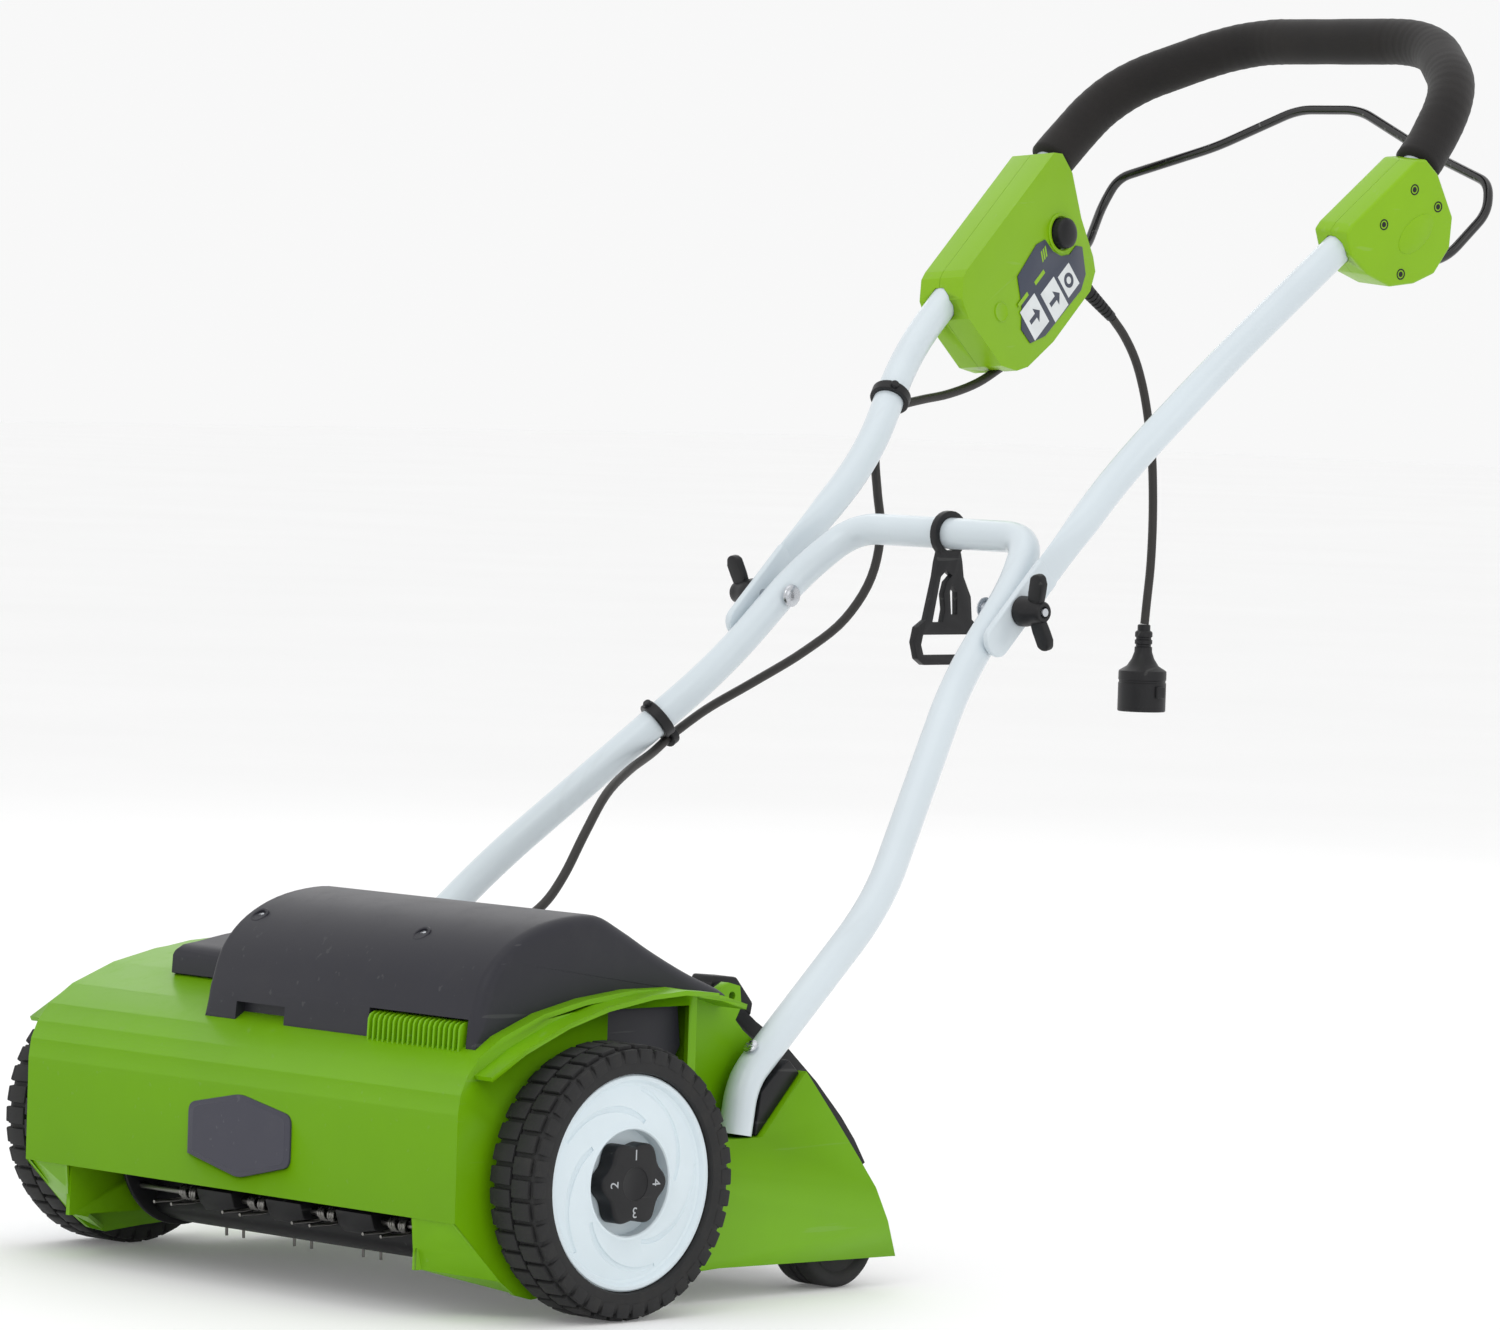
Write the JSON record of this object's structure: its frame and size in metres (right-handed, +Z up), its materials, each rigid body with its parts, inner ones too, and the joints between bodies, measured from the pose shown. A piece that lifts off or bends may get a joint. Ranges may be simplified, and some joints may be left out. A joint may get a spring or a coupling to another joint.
{
  "type": "lawn dethatcher",
  "caption": "Corded walk-behind lawn dethatcher: moulded green deck on wheels, spring-tine reel, rear guard, folding tube handle with bail lever and foam grip.",
  "frame": {"origin": "on the ground under the middle of the machine's box, without its mains pigtail", "axes": "+Z up; +X to the right wheel as seen from the front; -Y is the front, +Y towards the operator"},
  "size_m": [0.595, 1.2018, 0.9874],
  "materials": {
    "green_plastic": "semi-gloss moulded green",
    "cover_grey": "fine-textured dark grey",
    "black_plastic": "satin black",
    "painted_tube": "light grey powder coat",
    "foam": "matte closed-cell foam",
    "tyre_rubber": "matte treaded",
    "white_plastic": "satin white",
    "label_grey": "printed film",
    "zinc_steel": "bright zinc",
    "dark_steel": "oiled spring steel",
    "cord_black": "satin cord sheath",
    "pin_brass": "brass"
  },
  "bodies": {
    "deck": {"deck_shell": "green_plastic", "front_badge": "label_grey", "motor_cover": "cover_grey", "motor": "dark_steel", "drive_belt": "tyre_rubber", "belt_guard": "cover_grey", "reel_bearing_right": "zinc_steel", "reel_bearing_left": "zinc_steel", "flap_hinge_rod": "zinc_steel", "rear_axle": "zinc_steel", "handle_saddle_right": "black_plastic", "handle_saddle_left": "black_plastic", "handle_screw_right": "zinc_steel", "handle_screw_left": "zinc_steel", "lower_handle": "painted_tube", "carriage_bolt_right": "zinc_steel", "carriage_bolt_left": "zinc_steel", "cable_clip_lower": "black_plastic", "motor_cable": "cord_black"},
    "motor_shaft": {"motor_pulley": "zinc_steel"},
    "reel": {"reel_rotor": "black_plastic", "reel_pulley": "black_plastic", "tine_bar_1": "dark_steel", "tine_bar_2": "dark_steel", "tine_bar_3": "dark_steel", "tine_bar_4": "dark_steel"},
    "guard": {"rear_flap": "black_plastic"},
    "handle_top": {"upper_handle": "painted_tube", "foam_grip": "foam", "switch_housing_inner": "green_plastic", "switch_housing_outer": "green_plastic", "switch_block": "black_plastic", "switch_label": "label_grey", "right_housing_outer": "green_plastic", "right_housing_inner": "green_plastic", "cable_clip_upper": "black_plastic", "strain_relief": "black_plastic", "power_cord": "cord_black", "plug_body": "black_plastic", "plug_pin_1": "pin_brass", "plug_pin_2": "pin_brass", "plug_pin_3": "pin_brass"},
    "lock_button": {"lockout_button": "black_plastic"},
    "bail": {"bail_lever": "black_plastic"},
    "hook": {"cord_hook": "black_plastic"},
    "depth_adjuster_right": {"depth_knob_right": "black_plastic"},
    "front_wheel_right": {"front_tyre_right": "tyre_rubber", "front_hub_right": "white_plastic"},
    "rear_roller_right": {"rear_wheel_right": "tyre_rubber"},
    "knob_right": {"wing_knob_right": "black_plastic"},
    "depth_adjuster_left": {"depth_knob_left": "black_plastic"},
    "front_wheel_left": {"front_tyre_left": "tyre_rubber", "front_hub_left": "white_plastic"},
    "rear_roller_left": {"rear_wheel_left": "tyre_rubber"},
    "knob_left": {"wing_knob_left": "black_plastic"}
  },
  "joints": [
    {"name": "handle_fold", "type": "hinge", "parent": "deck", "child": "handle_top", "pos_m": [0, 0.06696, 0.503], "axis": [1, 0, 0], "range_deg": [0, 150], "deforming": ["motor_cable"]},
    {"name": "reel_spin", "type": "hinge", "parent": "deck", "child": "reel", "pos_m": [0, -0.49604, 0.085], "axis": [1, 0, 0], "continuous": true},
    {"name": "motor_spin", "type": "hinge", "parent": "deck", "child": "motor_shaft", "pos_m": [0.2, -0.42604, 0.2], "axis": [1, 0, 0], "continuous": true},
    {"name": "guard_lift", "type": "hinge", "parent": "deck", "child": "guard", "pos_m": [0, -0.30004, 0.222], "axis": [1, 0, 0], "range_deg": [0, 50]},
    {"name": "bail_squeeze", "type": "hinge", "parent": "handle_top", "child": "bail", "pos_m": [0, 0.45696, 0.785], "axis": [1, 0, 0], "range_deg": [0, 23], "stiffness_Nm_per_rad": 1, "springref_deg": -17.19},
    {"name": "button_press", "type": "slide", "parent": "handle_top", "child": "lock_button", "axis": [-0.9925, -0.0937, -0.0781], "range_m": [0, 0.005], "stiffness_N_per_m": 150, "springref_m": -0.004},
    {"name": "hook_swing", "type": "hinge", "parent": "deck", "child": "hook", "pos_m": [0.008, 0.12596, 0.558], "axis": [1, 0, 0], "range_deg": [-60, 60]},
    {"name": "depth_turn_right", "type": "hinge", "parent": "deck", "child": "depth_adjuster_right", "pos_m": [0.24, -0.47604, 0.105], "axis": [1, 0, 0], "continuous": true},
    {"name": "front_wheel_spin_right", "type": "hinge", "parent": "depth_adjuster_right", "child": "front_wheel_right", "pos_m": [0.272, -0.47604, 0.1], "axis": [1, 0, 0], "continuous": true},
    {"name": "rear_wheel_spin_right", "type": "hinge", "parent": "deck", "child": "rear_roller_right", "pos_m": [0.211, -0.19604, 0.038], "axis": [1, 0, 0], "continuous": true},
    {"name": "knob_turn_right", "type": "hinge", "parent": "handle_top", "child": "knob_right", "pos_m": [0.16, 0.06696, 0.503], "axis": [1, 0, 0], "continuous": true},
    {"name": "depth_turn_left", "type": "hinge", "parent": "deck", "child": "depth_adjuster_left", "pos_m": [-0.24, -0.47604, 0.105], "axis": [1, 0, 0], "continuous": true},
    {"name": "front_wheel_spin_left", "type": "hinge", "parent": "depth_adjuster_left", "child": "front_wheel_left", "pos_m": [-0.272, -0.47604, 0.1], "axis": [1, 0, 0], "continuous": true},
    {"name": "rear_wheel_spin_left", "type": "hinge", "parent": "deck", "child": "rear_roller_left", "pos_m": [-0.211, -0.19604, 0.038], "axis": [1, 0, 0], "continuous": true},
    {"name": "knob_turn_left", "type": "hinge", "parent": "handle_top", "child": "knob_left", "pos_m": [-0.16, 0.06696, 0.503], "axis": [1, 0, 0], "continuous": true}
  ],
  "couplings": [
    {"joint": "motor_spin", "follows": "reel_spin", "ratio": 2}
  ]
}
